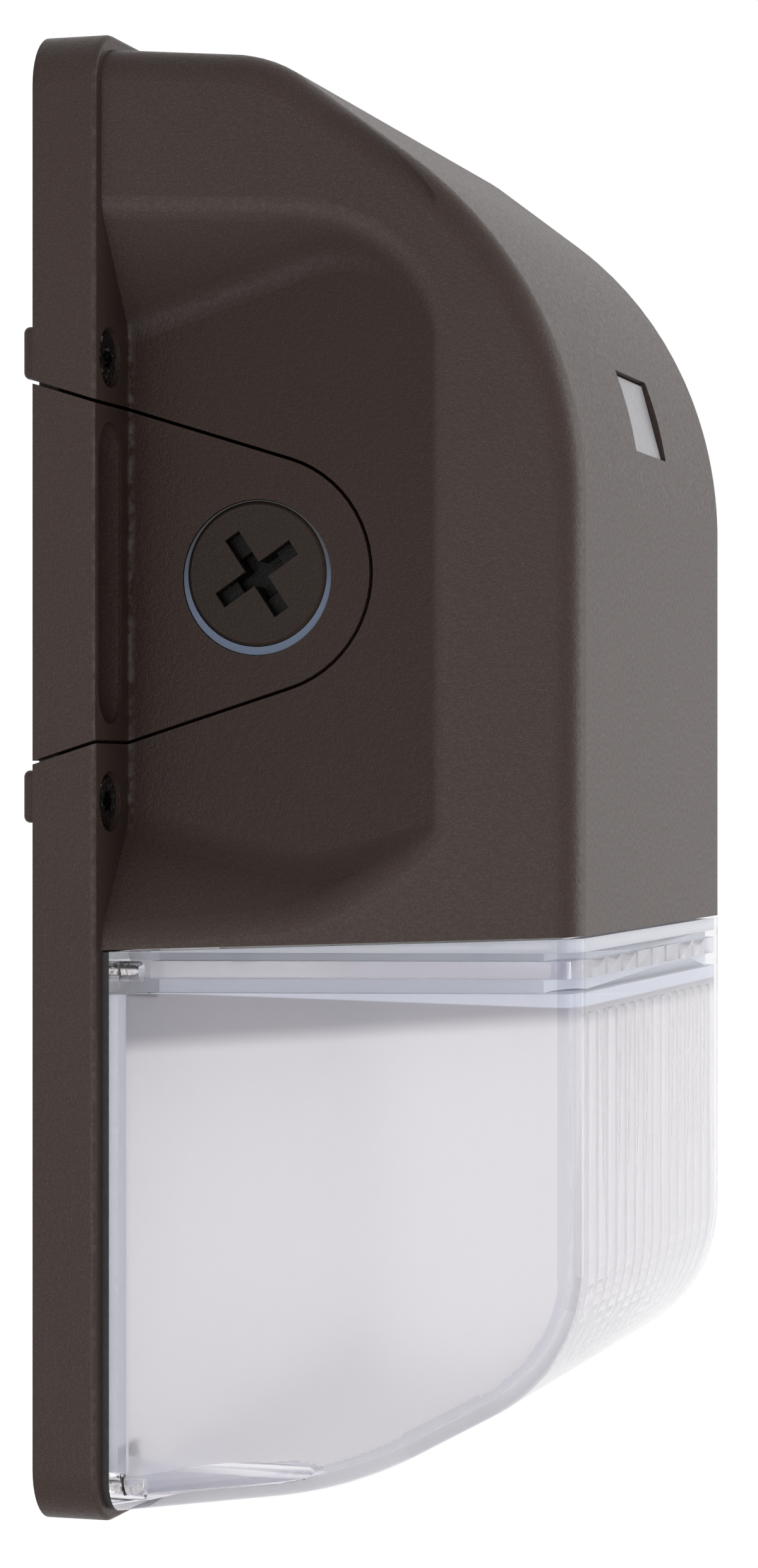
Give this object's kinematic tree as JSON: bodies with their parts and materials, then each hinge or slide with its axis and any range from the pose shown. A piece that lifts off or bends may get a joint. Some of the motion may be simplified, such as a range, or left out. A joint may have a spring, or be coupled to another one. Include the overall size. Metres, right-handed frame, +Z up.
{
  "type": "wall light",
  "caption": "Compact outdoor LED wall light with a cast hooded housing, a ribbed clear lens below it, a photocell window and plugged conduit entries on both sides.",
  "frame": {"origin": "centre of the two wall box screws, on the wall plane, level with the conduit holes", "axes": "+Z up, +Y into the wall, the front faces -Y, +X to the right seen from the front"},
  "size_m": [0.136, 0.078, 0.2128],
  "materials": {
    "bronze_paint": "dark bronze powder coat on die-cast aluminium, fine orange peel",
    "bronze_plug": "dark bronze powder coat",
    "pale_seal": "translucent blue-grey silicone",
    "black_steel": "black oxide",
    "clear_lens": "clear polycarbonate, glossy outside, frosted inside",
    "dark_rubber": "matt",
    "foam": "closed-cell foam",
    "zinc_steel": "bright zinc plating",
    "green_steel": "green dyed zinc",
    "window_plastic": "clear plastic",
    "sensor_plastic": "clear cap over a cell",
    "white_board": "white solder mask",
    "led_phosphor": "yellow phosphor",
    "white_plastic": "moulded",
    "white_sheet": "white enamel",
    "driver_case": "moulded case",
    "lead_jacket": "wire insulation"
  },
  "bodies": {
    "back": {"back_plate": "bronze_paint", "wall_gasket": "foam", "wire_grommet": "dark_rubber", "ground_screw": "green_steel", "housing_gasket": "foam"},
    "cover": {"front_housing": "bronze_paint", "housing_screws": "black_steel", "lens": "clear_lens", "lens_gasket": "dark_rubber", "lens_screws": "zinc_steel", "reflector": "white_sheet", "led_board": "white_board", "leds": "led_phosphor", "board_screws": "zinc_steel", "board_connector": "white_plastic", "driver": "driver_case", "driver_screws": "zinc_steel", "lead_grommet": "dark_rubber", "led_leads": "lead_jacket", "photocell_window": "window_plastic", "photocell_sensor": "sensor_plastic"},
    "left_seal": {"plug_seal_left": "pale_seal"},
    "left_plug": {"conduit_plug_left": "bronze_plug"},
    "right_seal": {"plug_seal_right": "pale_seal"},
    "right_plug": {"conduit_plug_right": "bronze_plug"}
  },
  "joints": [
    {"name": "cover_slide", "type": "slide", "parent": "back", "child": "cover", "axis": [0, -1, 0], "range_m": [0, 0.06]},
    {"name": "left_plug_slide", "type": "slide", "parent": "back", "child": "left_seal", "axis": [-1, 0, 0], "range_m": [0, 0.0091]},
    {"name": "left_plug_turn", "type": "hinge", "parent": "left_seal", "child": "left_plug", "pos_m": [-0.0544, -0.0315, 0], "axis": [-1, 0, 0], "range_deg": [0, 1800]},
    {"name": "right_plug_slide", "type": "slide", "parent": "back", "child": "right_seal", "axis": [1, 0, 0], "range_m": [0, 0.0091]},
    {"name": "right_plug_turn", "type": "hinge", "parent": "right_seal", "child": "right_plug", "pos_m": [0.0544, -0.0315, 0], "axis": [1, 0, 0], "range_deg": [0, 1800]}
  ],
  "couplings": [
    {"joint": "left_plug_slide", "follows": "left_plug_turn", "m_per_rad": 0.00028875},
    {"joint": "right_plug_slide", "follows": "right_plug_turn", "m_per_rad": 0.00028875}
  ]
}
